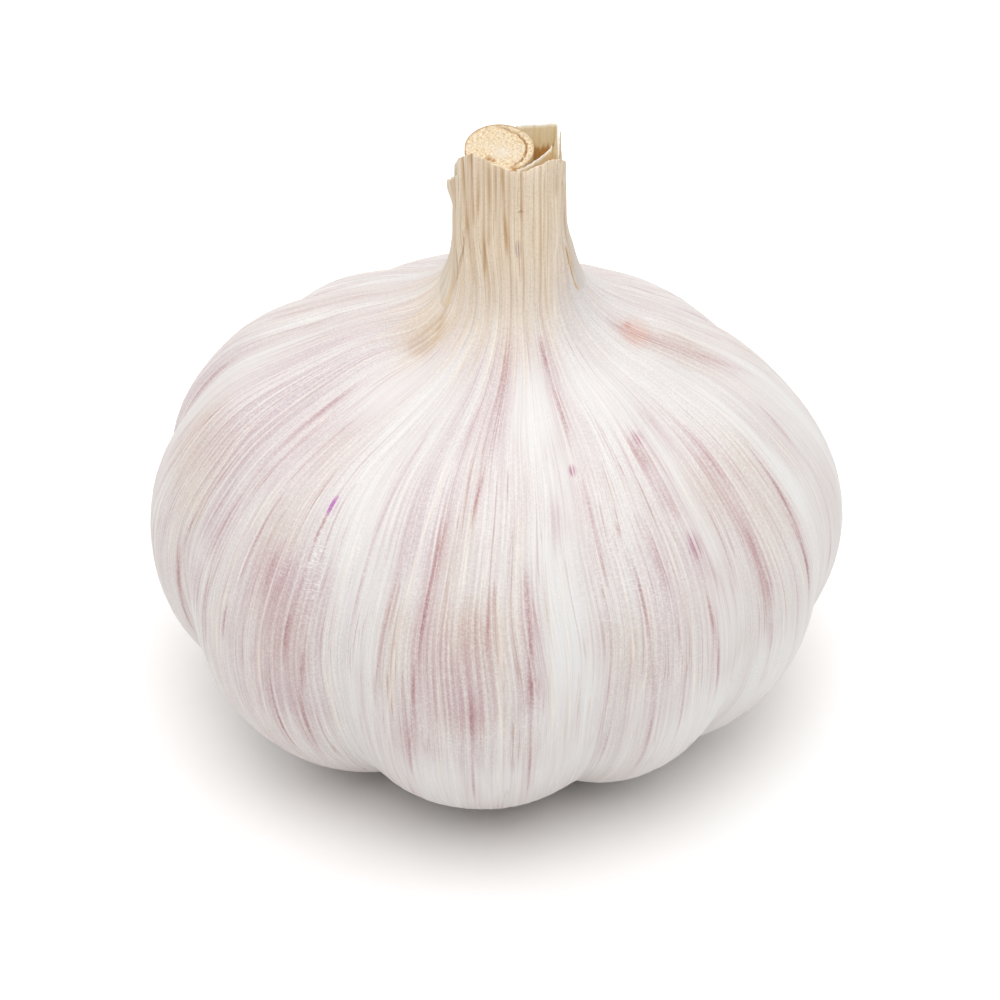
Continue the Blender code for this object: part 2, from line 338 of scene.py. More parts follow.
# Streaks are width, strength, then azimuth and height at points along the line.
wine_streaks = [
    (0.4, 0.6, (-81, 33.5), (-80.8, 28), (-81.5, 24)), (0.3, 0.5, (-84, 31), (-83.5, 26)),
    (0.3, 0.5, (-86, 30), (-86, 27)), (0.5, 0.9, (-65.5, 31), (-67, 27), (-69, 23), (-71, 18), (-72, 12)),
    (0.3, 0.5, (-73.5, 28), (-75, 20)), (0.6, 0.7, (-57, 37), (-57, 34)), (0.4, 0.6, (-53.2, 36.5), (-53, 34)),
    (0.5, 0.5, (-60, 30.5), (-61, 26)), (0.5, 0.5, (-56, 32), (-56, 25)),
    (0.4, 0.7, (-53, 27), (-54, 22), (-54, 17)), (0.5, 0.7, (-48.5, 23), (-48.7, 20)),
    (0.35, 0.5, (-47, 32), (-47, 28)), (0.4, 0.8, (-42, 29), (-42, 25)), (0.4, 0.5, (-42, 21), (-42.5, 18)),
    (0.35, 0.8, (-38.5, 30), (-38.8, 20), (-39, 9)), (0.8, 0.8, (-36.4, 25), (-36.4, 20)),
    (0.5, 0.6, (-35.5, 33), (-36.5, 28)), (0.5, 0.8, (-33, 23), (-34, 17), (-34.6, 11), (-35, 8)),
    (0.3, 0.4, (-31, 32), (-31.8, 26)), (0.3, 0.35, (-24, 38), (-24.8, 30), (-25, 24)),
    (0.35, 0.5, (-17.5, 32), (-18.5, 27), (-19.5, 22), (-20, 18)), (0.3, 0.4, (-22.5, 20), (-23.5, 14)),
    (0.55, 0.85, (-10.5, 34), (-12, 29), (-12.8, 24), (-13.5, 18), (-14.5, 11)),
    (1, 0.9, (-3.6, 42), (-3.4, 40), (-3.6, 37.5), (-4.5, 36)), (0.4, 0.7, (-4.8, 36), (-5.8, 33.5)),
    (0.5, 0.6, (-4, 28.5), (-4, 24)), (1, 0.9, (-4, 21.5), (-4, 16)), (0.5, 0.5, (-4, 16), (-4, 8)),
    (0.35, 0.8, (-0.8, 31.5), (-2, 24)), (0.5, 0.85, (5, 31), (5.3, 26), (5.2, 22)),
    (0.9, 0.95, (5.3, 24), (5.2, 19.5)), (0.4, 0.6, (5.2, 19), (5.2, 8)), (0.6, 0.7, (18, 41), (18.3, 39.5)),
    (0.5, 0.6, (18.3, 39.5), (19.5, 36.3)), (0.4, 0.7, (20, 34.5), (20.5, 31), (20, 28)),
    (0.4, 0.6, (18.7, 27.5), (18.6, 22)), (0.35, 0.6, (19, 22), (19.6, 9)),
    (0.5, 0.7, (26.2, 31), (25.8, 27), (26, 23)), (0.35, 0.5, (26, 23), (26.5, 8)),
    (0.4, 0.6, (30.8, 33), (31, 26)), (0.3, 0.4, (31, 26), (31.5, 12)), (1.3, 0.6, (36.8, 35.6), (37, 34.2)),
    (0.5, 0.5, (37, 34), (38, 31)), (0.5, 0.8, (37.7, 26.5), (38.3, 22), (39, 16)),
    (0.35, 0.6, (46.3, 32), (46, 28), (45, 23)), (0.35, 0.4, (47, 36), (47, 34)),
    (0.6, 0.9, (53, 35.5), (52.7, 32), (52, 27), (52.3, 21)), (0.35, 0.5, (52.3, 21), (53, 12)),
    (0.3, 0.5, (56.5, 34), (57, 29)), (0.3, 0.5, (58.5, 23), (58.8, 16)),
    (0.6, 1, (65, 33.5), (64.3, 29), (63.3, 25), (63, 19)), (0.3, 0.3, (73, 35.5), (72.5, 30)),
    (0.3, 0.45, (81, 33), (80, 28)), (0.4, 0.5, (79.5, 20), (79.5, 16)),
    (1, 0.75, (72, 39.9), (74.5, 39.2), (77.5, 38.5), (81, 37.4)),
    (0.5, 0.5, (81, 37.6), (85, 36), (90, 33.5)),
]
mauve_streaks = [
    (10, 0.7, (-71, 40.5), (-68, 27)), (7, 0.45, (-57, 37.5), (-57, 30)), (5, 0.8, (-59, 32), (-59, 24)),
    (3.5, 0.8, (-60, 25), (-59, 19)), (9, 0.65, (-38, 30), (-37, 13)), (5, 0.5, (-33, 27), (-34, 16)),
    (3, 0.6, (-13, 42), (-15, 35)), (5, 0.45, (-16, 37), (-17, 28)), (7, 0.8, (-7, 29), (-6, 17)),
    (4, 0.35, (17, 27), (17, 20)), (6, 0.3, (24, 28), (24, 19)), (5, 0.4, (52, 36), (55, 29)),
    (3, 0.4, (-36.5, 28), (-36.5, 19)), (2.5, 0.35, (-42, 30), (-42, 24)),
    (1.8, 0.55, (-3.4, 42), (-4.4, 35)), (1.2, 0.4, (18.5, 41), (18.7, 36.5)), (1.4, 0.4, (12, 34.5), (12, 31)),
    (1.5, 0.35, (18.8, 35), (18.8, 32)), (3, 0.35, (-12, 30), (-13.5, 14)), (5, 0.35, (-3, 26), (-3.5, 12)),
    (3, 0.4, (5, 29), (5, 18)), (3.5, 0.3, (20, 30), (19.5, 10)), (5, 0.3, (29, 32), (29, 14)),
    (2.6, 0.5, (37.3, 36), (37.7, 31)), (2.6, 0.5, (38, 30), (38.3, 26.5)), (3, 0.35, (38.5, 26), (38.8, 15)),
    (2, 0.25, (47, 36.5), (47, 34)), (4, 0.3, (50.5, 35), (50.5, 27)),
    (3, 0.45, (73, 39.7), (75.5, 39), (79, 37.8), (84, 36), (90, 33.5)),
]
tan_streaks = [
    (9, 0.8, (-76, 33.5), (-75, 25)), (5, 1, (-69, 32), (-69.5, 24)), (4.5, 0.5, (-44, 32), (-43.5, 25)),
    (6, 0.5, (-37, 28), (-36.5, 18)), (5, 0.5, (-16, 29), (-16, 19)), (6, 0.4, (23, 27), (23, 19)),
    (6, 0.45, (62, 36.5), (62, 30)), (2.5, 0.5, (-8, 34), (-8.5, 26)), (6.5, 0.9, (-4.5, 30), (-4, 17)),
    (3, 0.5, (1.5, 29), (1.5, 20)), (0.4, 0.8, (-5.2, 36), (-5.8, 33), (-6.2, 30)),
    (0.4, 0.5, (8.5, 31), (8.3, 18)), (5.5, 0.7, (59.5, 34.5), (60, 25)), (3.5, 0.5, (48.5, 34), (48.5, 28)),
    (5, 1, (-64, 42), (-60, 38.8)), (4.5, 0.9, (73.5, 39.6), (76, 38.8), (80, 37.6), (87, 34.3)),
]
cream_streaks = [
    (0.3, 0.8, (-14, 36), (-15, 32), (-16.5, 24), (-18, 14)), (0.3, 0.7, (0.5, 29), (0.5, 12)),
    (0.25, 0.7, (9, 30), (8.8, 16)), (0.25, 0.8, (11.7, 32), (11.6, 14)), (0.25, 0.7, (23, 30), (22.8, 14)),
    (0.25, 0.6, (33.5, 32), (33.5, 14)), (0.25, 0.6, (-28.5, 33), (-29.5, 12)),
    (0.25, 0.6, (-40.5, 33), (-41, 12)), (0.25, 0.5, (-50, 30), (-50.5, 14)), (0.25, 0.6, (-71, 33), (-73, 20)),
    (0.25, 0.5, (55.5, 34), (55, 14)), (0.25, 0.5, (-80, 33), (-82, 20)), (0.25, 0.6, (15.5, 28), (15.5, 12)),
    (0.25, 0.5, (-9, 24), (-9.5, 9)),
]
# Pale streaks of paler paper. The wide ones low on the bulb and at its far left and right are painted light: they
# lighten the paper where light from the floor and the sides falls.
pale_streaks = [
    (6, 0.6, (-27, 40), (-27, 24)), (6, 0.4, (-24, 22), (-24, 9)), (6, 0.5, (-48, 40.5), (-48, 36)),
    (4.5, 0.9, (11.5, 34), (11.5, 10)), (3.5, 0.9, (15.5, 30), (15.5, 12)), (5, 0.7, (9, 41), (11, 35)),
    (6, 0.7, (42, 28), (42, 12)), (6, 0.6, (38, 40), (40, 35.5)), (3.2, 0.8, (69.5, 37), (69, 24)),
    (4, 0.6, (57, 20), (57, 12)), (4, 0.6, (14.5, 37.5), (14.5, 31)), (4, 0.7, (44, 37), (43.5, 26)),
    (7, 0.5, (-86, 37), (-86, 22)), (12, 0.7, (77, 29), (77, 8)), (8, 0.7, (62, 23), (62, 6)),
    (9, 0.6, (88, 37), (88, 12)), (30, 0.7, (8, 15.5), (8, 1)), (32, 0.9, (52, 20), (52, 1)),
    (16, 0.6, (-68, 17), (-68, 1)), (3, 0.5, (-19.5, 33), (-22, 20)), (2.5, 0.5, (32.8, 20), (33, 10)),
]
# Golden brown folds down the neck. The pale lines along its creases, and along the edge of the layer folded over its
# right side, are painted highlights.
fold_streaks = [
    (0.5, 1, (-55, 59), (-53, 55.3), (-50.5, 53), (-46, 49.5)),
    (0.3, 0.6, (-46.3, 50.3), (-50, 48), (-55, 46), (-60, 43.7)),
    (0.6, 0.8, (-61, 44.6), (-60, 42.5), (-55, 41.3), (-46, 40.2)),
    (0.4, 0.9, (-43, 59), (-41, 55), (-38, 50.5)), (0.35, 0.8, (-32, 59), (-33, 51)),
    (0.6, 0.8, (-22, 59), (-21.5, 48.5)), (0.25, 0.7, (-15.5, 59), (-15, 51)),
    (0.4, 1, (-8.5, 59), (-7.5, 53), (-4.5, 49.5), (-4, 47.5)), (0.2, 0.8, (11, 57), (11.5, 51)),
    (0.3, 0.9, (-27.7, 49.6), (-26.5, 45.5)), (0.3, 0.35, (-20, 49), (-18, 46), (-14, 42.5)),
    (0.25, 0.4, (24, 54.5), (22, 46)), (0.3, 0.5, (35.5, 55), (35, 50), (31.5, 46), (27, 42.5)),
    (1, 0.5, (50.5, 55.3), (50.5, 52.8)), (0.25, 0.6, (70, 47), (69, 44)), (0.25, 0.6, (-68, 55), (-70, 44)),
]
# Painted highlights: pale lines along the creases and along the edge of the folded layer.
crease_streaks = [
    (0.3, 0.8, (37.3, 55.5), (37, 50), (33, 46), (28.5, 42.3)), (0.35, 0.6, (2.5, 51), (3, 45.5)),
    (0.35, 0.8, *[(azimuth - 1, height) for azimuth, height in fold_edge]),
    (0.4, 0.4, (-44, 55.3), (-42, 51)), (0.3, 0.5, (-25, 55.3), (-24.5, 49)),
    (0.3, 0.4, (-12, 55), (-10, 49), (-8, 44)), (0.3, 0.4, (16, 52), (15, 45)),
]
# The back carries streaks of the same kinds.
dice = np.random.default_rng(11)
for streaks, count, widest, strongest in (
    (wine_streaks, 44, 0.9, 0.9), (mauve_streaks, 18, 2.6, 0.6), (tan_streaks, 9, 6, 0.6),
    (cream_streaks, 14, 0.35, 0.8), (pale_streaks, 10, 6, 0.6),
):
    for azimuth in dice.uniform(98, 262, count):
        top = dice.uniform(24, 36)
        width = widest * dice.uniform(0.45, 1)
        strength = strongest * dice.uniform(0.4, 1)
        foot = (azimuth + dice.normal(0, 1.5), dice.uniform(6, top - 4))
        streaks.append((width, strength, (azimuth, top), foot))


def new_material(name):
    """Start a node material and give its tree and its shader."""
    material = bpy.data.materials.new(name)
    material.use_nodes = True
    return material, material.node_tree, material.node_tree.nodes["Principled BSDF"]


def add_node(tree, kind, inputs=None, **settings):
    """Add a node, set its options, and set or link its inputs."""
    node = tree.nodes.new(kind)
    for key, value in settings.items():
        setattr(node, key, value)
    for key, value in (inputs or {}).items():
        if isinstance(value, bpy.types.NodeSocket):
            tree.links.new(value, node.inputs[key])
        else:
            node.inputs[key].default_value = value
    return node


def calculate(tree, operation, *values, clamp=True):
    """Add a Math node. It keeps its answer between 0 and 1 unless told not to."""
    inputs = dict(enumerate(values))
    return add_node(tree, "ShaderNodeMath", inputs, operation=operation, use_clamp=clamp).outputs[0]


def measure(tree, operation, first, second):
    """Measure two vectors against each other, by their distance or their dot product."""
    return add_node(tree, "ShaderNodeVectorMath", {0: first, 1: second}, operation=operation).outputs["Value"]


def multiply(tree, first, second):
    """Multiply two values and keep the answer between 0 and 1."""
    return calculate(tree, "MULTIPLY", first, second)


def read_layer(tree, name):
    """Read a value that is kept on the piece's points."""
    return add_node(tree, "ShaderNodeAttribute", attribute_name=name).outputs["Fac"]


def stretch(tree, value, low, high, new_low=0, new_high=1):
    """Spread the part of a value between low and high over a new range."""
    inputs = {"Value": value, "From Min": low, "From Max": high, "To Min": new_low, "To Max": new_high}
    return add_node(tree, "ShaderNodeMapRange", inputs, clamp=True).outputs[0]


def tint(tree, share, colour, stain):
    """Mix a stain into a colour by a share."""
    colour, stain = [(*part, 1) if isinstance(part, tuple) else part for part in (colour, stain)]
    return add_node(tree, "ShaderNodeMix", {0: share, 6: colour, 7: stain}, data_type="RGBA").outputs[2]


def tint_by(tree, colour, *stains):
    """Mix stains into a colour: a pattern, its low, its high, the share at each, and the stain."""
    for pattern, low, high, least, most, stain in stains:
        colour = tint(tree, stretch(tree, pattern, low, high, least, most), colour, stain)
    return colour


def scale(tree, vector, sizes):
    """Scale a vector by a size for each axis."""
    return add_node(tree, "ShaderNodeVectorMath", {0: vector, 1: sizes}, operation="MULTIPLY").outputs[0]


def mottle(tree, place, fineness, detail, roughness=0.5):
    """Give a noise pattern, from 0 to 1."""
    inputs = {"Vector": place, "Scale": fineness, "Detail": detail, "Roughness": roughness}
    return add_node(tree, "ShaderNodeTexNoise", inputs).outputs["Fac"]


def spot(tree, grain, azimuth, height, wide, long):
    """Give 1 in a spot of the leaf and 0 outside it. Sizes are half widths in millimetres."""
    turn = math.radians(azimuth)
    along = float(travel(height))
    radius = float(np.interp(along, outline_travel, outline_line[:, 0]))
    size = (radius / wide, radius / wide, 10 / long)
    middle = tuple(part * times for part, times in zip((math.sin(turn), math.cos(turn), along / 10), size))
    scaled = scale(tree, grain, size)
    return stretch(tree, measure(tree, "DISTANCE", scaled, middle), 1.3, 0.5)


def make_fibre_group():
    """Build the fibres that all the dry leaves share, from broad bands to fine threads."""
    group = bpy.data.node_groups.new("leaf_fibres", "ShaderNodeTree")
    group.interface.new_socket("Grain", in_out="INPUT", socket_type="NodeSocketVector")
    for name in ("Bands", "Strands", "Veins", "Threads", "Crinkle", "Grit"):
        group.interface.new_socket(name, in_out="OUTPUT", socket_type="NodeSocketFloat")
    source = add_node(group, "NodeGroupInput")
    result = add_node(group, "NodeGroupOutput")
    # Each kind of fibre: how many lie side by side, how quickly they change along the leaf,
    # and how much finer detail they carry.
    kinds = {
        "Bands": (5, 0.4, 3, 0.55), "Strands": (26, 0.25, 3, 0.5), "Veins": (90, 0.5, 2, 0.6),
        "Threads": (300, 1.8, 1, 0.6), "Crinkle": (24, 32, 2, 0.6),
    }
    for name, (across, along, detail, roughness) in kinds.items():
        scaled = scale(group, source.outputs["Grain"], (across, across, along))
        group.links.new(mottle(group, scaled, 1, detail, roughness), result.inputs[name])
    place = add_node(group, "ShaderNodeTexCoord").outputs["Object"]
    group.links.new(mottle(group, place, 5200, 1, 0.6), result.inputs["Grit"])
    return group


leaf_fibres = make_fibre_group()


def read_fibres(tree, *names):
    """Run the shared fibres along a piece's grain, and give the grain and the named kinds."""
    grain = add_node(tree, "ShaderNodeAttribute", attribute_name="grain").outputs["Vector"]
    fibres = add_node(tree, "ShaderNodeGroup", node_tree=leaf_fibres)
    tree.links.new(grain, fibres.inputs["Grain"])
    return [grain] + [fibres.outputs[name] for name in names]


def finish(tree, shader, colour, pattern, smoothest, roughest, relief, strength, depth, shine):
    """Link a colour, a roughness that follows a pattern, and a fine relief to a shader."""
    tree.links.new(colour, shader.inputs["Base Color"])
    tree.links.new(stretch(tree, pattern, 0.3, 0.7, smoothest, roughest), shader.inputs["Roughness"])
    bump = add_node(tree, "ShaderNodeBump", {"Height": relief, "Strength": strength, "Distance": depth})
    tree.links.new(bump.outputs[0], shader.inputs["Normal"])
    shader.inputs["Specular IOR Level"].default_value = shine


def hairline(tree, fibre, level, width):
    """Give 1 on the thin lines where a fibre pattern passes through a level."""
    away = calculate(tree, "SUBTRACT", fibre, level, clamp=False)
    away = calculate(tree, "ABSOLUTE", away, clamp=False)
    return stretch(tree, away, width, 0.3 * width)


def paint_neck_leaf(tree, grooves, valley, ridge, strands, veins, threads):
    """Paint dry neck leaf: paler on the pleats, browner in the grooves, with fine lines."""
    leaf = tint(tree, read_layer(tree, "crest"), valley, ridge)
    leaf = tint_by(
        tree, leaf, (strands, 0.45, 0.62, 0, 0.4, valley), (veins, 0.5, 0.66, 0, 0.6, (0.88, 0.79, 0.66)),
        (threads, 0.35, 0.5, 0.35, 0, grooves),
    )
    line = multiply(tree, hairline(tree, strands, 0.47, 0.02), stretch(tree, veins, 0.62, 0.45, 0, 0.7))
    leaf = tint(tree, line, leaf, grooves)
    return tint(tree, multiply(tree, read_layer(tree, "groove"), 0.6), leaf, grooves)


def make_wrapper_paper():
    """Pale paper with fibres, wine and tan streaks, and a beige, ribbed neck."""
    material, tree, shader = new_material("bulb_paper")
    grain, bands, strands, veins, threads, crinkle, grit = read_fibres(
        tree, "Bands", "Strands", "Veins", "Threads", "Crinkle", "Grit"
    )

    # The paper itself: white, blushed in bands, with fine paler and darker threads and a
    # few crisp hairlines.
    paper = tint(tree, stretch(tree, bands, 0.38, 0.62), (0.7, 0.685, 0.675), (0.635, 0.57, 0.555))
    paper = tint_by(
        tree, paper,
        (strands, 0.5, 0.7, 0, 0.4, (0.56, 0.46, 0.45)), (veins, 0.46, 0.32, 0, 0.35, (0.5, 0.4, 0.385)),
        (veins, 0.56, 0.7, 0, 0.35, (0.8, 0.765, 0.72)), (threads, 0.36, 0.52, 0.28, 0, (0.5, 0.42, 0.41)),
        (threads, 0.52, 0.68, 0, 0.28, (0.84, 0.81, 0.78)),
    )
    for level, low, high, most, colour in (
        (0.54, 0.6, 0.45, 0.65, (0.43, 0.25, 0.22)), (0.45, 0.4, 0.55, 0.45, (0.85, 0.78, 0.66)),
    ):
        line = multiply(tree, hairline(tree, strands, level, 0.014), stretch(tree, veins, low, high, 0, most))
        paper = tint(tree, line, paper, colour)
    paper = tint_by(
        tree, paper, (grit, 0.3, 0.5, 0.2, 0, (0.46, 0.41, 0.4)), (grit, 0.5, 0.7, 0, 0.2, (0.86, 0.84, 0.82)),
    )

    # Streaks, each broken up by the fibres it lies in.
    # The pale layer is partly painted light, low on the bulb and at its far sides.
    streaks = (
        ("pale", (0.765, 0.77, 0.76), strands, 0.3, 0.6, 0.5), ("tan", (0.56, 0.445, 0.35), veins, 0.58, 0.42, 0.4),
        ("mauve", (0.47, 0.31, 0.36), veins, 0.6, 0.42, 0.25), ("blush", (0.5, 0.33, 0.34), veins, 0.58, 0.42, 0.15),
        ("wine", (0.35, 0.15, 0.165), veins, 0.6, 0.48, 0.35), ("cream", (0.85, 0.78, 0.67), threads, 0.3, 0.5, 0.3),
    )
    for name, colour, breakup, low, high, least in streaks:
        broken = multiply(tree, read_layer(tree, name), stretch(tree, breakup, low, high, least, 1))
        broken = multiply(tree, broken, stretch(tree, grit, 0.65, 0.4, 0.6, 1.1))
        paper = tint(tree, broken, paper, colour)

    # Blots of colour where a bruise has dried under the paper: azimuth, height, half
    # widths, strength and colour.
    def blot(paper, *blots):
        """Mix the blots into the paper, broken up by its veins."""
        for azimuth, height, wide, long, strength, colour in blots:
            near = spot(tree, grain, azimuth, height, wide, long)
            broken = multiply(tree, near, stretch(tree, veins, 0.58, 0.44, 0.1 * strength, strength))
            paper = tint(tree, broken, paper, colour)
        return paper

    paper = blot(
        paper,
        (-35.3, 32.5, 0.5, 0.8, 1, (0.44, 0.16, 0.42)), (17.6, 35, 0.3, 0.6, 0.9, (0.36, 0.08, 0.22)),
        (37.2, 35.7, 0.8, 0.7, 0.6, (0.4, 0.15, 0.24)), (38, 29.2, 0.8, 1.2, 0.65, (0.38, 0.15, 0.24)),
        (87, 39.3, 0.4, 0.4, 0.8, (0.45, 0.15, 0.12)), (83, 38.9, 2, 1.6, 0.6, (0.62, 0.32, 0.24)),
    )

    # White flecks along crinkle lines, strongest on the crowns of the two side cloves halfway up.
    fleck = multiply(tree, hairline(tree, crinkle, 0.5, 0.035), stretch(tree, strands, 0.4, 0.58))
    fleck = multiply(tree, fleck, read_layer(tree, "worn"))
    paper = tint(tree, multiply(tree, fleck, 0.6), paper, (0.88, 0.87, 0.86))

    # The neck, where the leaf is beige.
    beige = paint_neck_leaf(tree, (0.48, 0.3, 0.15), beige_valley, beige_ridge, strands, veins, threads)
    beige = tint_by(tree, beige, (grit, 0.3, 0.5, 0.3, 0, (0.5, 0.39, 0.28)))
    paper = tint(tree, read_layer(tree, "neck"), paper, beige)
    paper = blot(
        paper,
        (5.2, 48.2, 0.2, 0.8, 0.8, (0.38, 0.27, 0.25)), (7.2, 51.8, 0.16, 0.16, 1, (0.24, 0.17, 0.1)),
        (-62, 40.5, 1.6, 1.8, 0.6, (0.53, 0.39, 0.28)), (-58.5, 39.7, 1.2, 1.2, 0.8, (0.48, 0.34, 0.25)),
    )
    fold = multiply(tree, read_layer(tree, "fold"), stretch(tree, threads, 0.6, 0.4, 0.7, 1))
    paper = tint(tree, fold, paper, (0.47, 0.27, 0.1))
    # Painted highlights along the neck's creases and along the folded layer's edge.
    paper = tint(tree, multiply(tree, read_layer(tree, "crease"), 0.6), paper, (0.88, 0.8, 0.68))

    relief = calculate(tree, "ADD", multiply(tree, threads, 0.45), multiply(tree, grit, 0.35))
    relief = calculate(tree, "ADD", relief, multiply(tree, fleck, 0.2))
    finish(tree, shader, paper, threads, 0.42, 0.62, relief, 0.5, 0.12 * MM, 0.35)
    return material


def make_wrapper():
    """Spin the wrapper, swell it over the cloves and draw its fibres into the neck."""
    piece = make_piece("paper_wrapper", roll_up(wrapper_profile(), wrapper_columns), make_wrapper_paper())
    mesh = piece.data
    turned, radius, around = read_points(mesh)
    height = turned[:, 2]
    along = travel(height)
    on_foot = (height < 1.95) & (radius < 19)
    along = np.where(on_foot, np.interp(radius, outline_line[:foot_end, 0], outline_travel[:foot_end]), along)

    # The fibres spread towards the sides as they come up the flattened neck, which is
    # gathered in pleats. Lower down they are fine ridges.
    skin = around + neck_spread(around, height)
    relief, crest, groove = neck_pleats(around, along)
    relief = relief * ramp(height, *pleats_rise)
    edge = np.interp(height, *np.array(fold_edge)[:, ::-1].T)
    relief -= 0.14 * ease((skin - edge) / 1.5) * ease((edge + 30 - skin) / 20) * ramp(height, 41.5, 44)
    on_bulb = ramp(height, 45, 40) * ramp(radius, 6, 20)
    broad_ribs = fibre_ribs(around, along, 50, 160, 30, 3)
    relief += on_bulb * (0.02 * broad_ribs + 0.005 * fibre_ribs(around, along, 160, 420, 40, 9))
    tube = outline_line[tube_start:]
    inside = (height > pocket_floor - 0.1) & (radius < np.interp(height, tube[:, 1], tube[:, 0]) - 0.1)
    relief = np.where(radius > 3, np.where(inside, 0.7, 1) * relief, 0)
    fold = paint_streaks(fold_streaks, skin, height, radius, fold_widened, fold_longest)
    relief -= np.where(inside, 0, 0.16) * fold * ramp(height, 42, 46)
    placed = place_on_skin(skin, radius + relief, height)
    cut = np.interp(skin, *np.array(neck_cut).T) + 0.045 * fibre_ribs(around, along * 0, 14, 110, 16, 5)
    placed[:, 2] += cut * ramp(height, 50, 56) * (radius > 3)
    move_points(mesh, placed * MM)

    write_grain(mesh, around + fibre_sway(around, along), along)
    for name, streaks, widened in (
        ("wine", wine_streaks, 0.6), ("blush", wine_streaks, 2.4), ("mauve", mauve_streaks, 1),
        ("tan", tan_streaks, 1), ("cream", cream_streaks, 0.7), ("pale", pale_streaks, 1),
    ):
        write_layers(mesh, **{name: paint_streaks(streaks, around, height, radius, widened)})
    # Painted highlights along the creases and along the folded layer's edge.
    crease = paint_streaks(crease_streaks, skin, height, radius, longest=fold_longest)
    worn = np.maximum(bell(around, -32, 9), bell(around, 23, 9)).clip(0.2, 1)
    write_layers(
        mesh, fold=np.where(inside, 0, fold), crease=np.where(inside, 0, crease),
        neck=neck_share(skin, height, along), crest=crest, groove=groove * np.where(inside, 0.3, 1),
        worn=worn * bell(height, 28.5, 4),
    )
    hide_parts("wrapped_bulb")


make_wrapper()

# ----------------------------------------
# Leaf ends on the neck. What is left of the bulb's outermost leaf: dry, beige, ribbed ends
# that cling to the neck's left side, down to a torn foot on the shoulder, and to its right
# side, where one strip stands up past the cut as a thin sliver.
# ----------------------------------------


def make_dry_leaf(name, groove_colour, body_colour, crest_colour, stain_and_shade_colour, glow=0):
    """Dry, fibrous leaf, darker in its grooves, with stains and painted shade. One that glows gets them only on the
    faces turned into its hollow.
    """
    material, tree, shader = new_material(name)
    _, strands, veins, threads = read_fibres(tree, "Strands", "Veins", "Threads")
    leaf = paint_neck_leaf(tree, groove_colour, body_colour, crest_colour, strands, veins, threads)
    paper = tint(tree, stretch(tree, strands, 0.4, 0.65), (0.74, 0.72, 0.69), (0.66, 0.6, 0.56))
    paper = tint_by(tree, paper, (threads, 0.3, 0.6, 0.5, 0, (0.5, 0.4, 0.38)))
    leaf = tint(tree, read_layer(tree, "blanched"), leaf, paper)
    stained = read_layer(tree, "stained")
    # The painted shade of the hollow goes only on the faces turned into it.
    if glow:
        facing = add_node(tree, "ShaderNodeTexCoord").outputs["Normal"]
        inwards = measure(tree, "DOT_PRODUCT", facing, (-0.3, -0.95, 0))
        stained = multiply(tree, stained, stretch(tree, inwards, 0, 0.2))
    leaf = tint(tree, stained, leaf, stain_and_shade_colour)
    leaf = tint(tree, read_layer(tree, "edge"), leaf, (0.84, 0.77, 0.64))
    finish(tree, shader, leaf, threads, 0.5, 0.7, threads, 0.5, 0.12 * MM, 0.3)
    shader.inputs["Subsurface Weight"].default_value = glow
    shader.inputs["Subsurface Radius"].default_value = (1, 0.9, 0.8)
    shader.inputs["Subsurface Scale"].default_value = 0.0006
    return material


def lay_leaf(name, material, columns, rows, place, thickness):
    """Shape a flat grid into a leaf and give it its thickness. Place takes shares 0 to 1."""
    shape = bmesh.new()
    bmesh.ops.create_grid(shape, x_segments=columns, y_segments=rows, size=0.5)
    across = np.array([point.co.x + 0.5 for point in shape.verts])
    up = np.array([point.co.y + 0.5 for point in shape.verts])
    placed, around, along, blanched, stained = place(across, up)
    for point, (x, y, z) in zip(shape.verts, placed):
        point.co = (x * MM, y * MM, z * MM)
    bmesh.ops.recalc_face_normals(shape, faces=shape.faces)
    piece = make_piece(name, shape, material)
    mesh = piece.data
    _, crest, groove = neck_pleats(around, along)
    write_grain(mesh, around, along)
    write_layers(
        mesh, crest=crest, groove=groove, stained=stained, blanched=blanched, edge=ramp(up, 0.99, 1),
    )
    wall = piece.modifiers.new("thickness", "SOLIDIFY")
    wall.thickness = thickness * MM
    wall.offset = 0
    return piece


def leaf_on_neck(skin, height, lift):
    """Lay points of a leaf on the neck's pleats, and colour them like the neck under them."""
    around = skin
    for _ in range(8):
        around = skin - neck_spread(around, height)
    relief, _, _ = neck_pleats(around, travel(height))
    relief = relief * ramp(height, *pleats_rise) + lift
    placed = place_on_skin(skin, neck_radius(height) + relief, height)
    placed[:, 2] += 0.4 * lift * ramp(height, 42.5, 40.5)
    stained = paint_streaks(fold_streaks, skin, height, neck_radius(height), fold_widened, fold_longest)
    return placed, around, travel(height), 1 - neck_share(skin, height, travel(height)), stained


def place_left_leaf(across, up):
    """The left leaf end: it grows out of the shoulder, and its top corner stands away."""
    low = 41 - 0.6 * ramp(across, 0.55, 0.9)
    high = 53.4 + 1.9 * across + 0.05 * fibre_ribs(across * 75, across * 0, 20, 90, 9, 22)
    height = low + (high - low) * up
    start = -124 + 14 * up
    end = np.interp(
        height, [40.4, 41.5, 43.7, 46, 48.5, 50, 51.5, 53.5],
        [-46, -52, -59, -56, -50, -52, -58, -60],
    )
    skin = start + (end - start) * across
    lift = -0.02 + 0.12 * ramp(across, 1, 0.85)
    lift += 0.5 * ramp(up, 0.76, 1) * ramp(across, 1.02, 0.62)
    lift -= 0.45 * ramp(up, 0.16, 0) + 0.3 * ramp(across, 0.1, 0)
    placed, around, along, blanched, stained = leaf_on_neck(skin, height, lift)
    corner = bell(skin, -57, 9) * bell(height, 41.6, 1.3)
    return placed, around, along, blanched * (1 - 0.8 * corner), np.maximum(stained, 0.45 * corner)


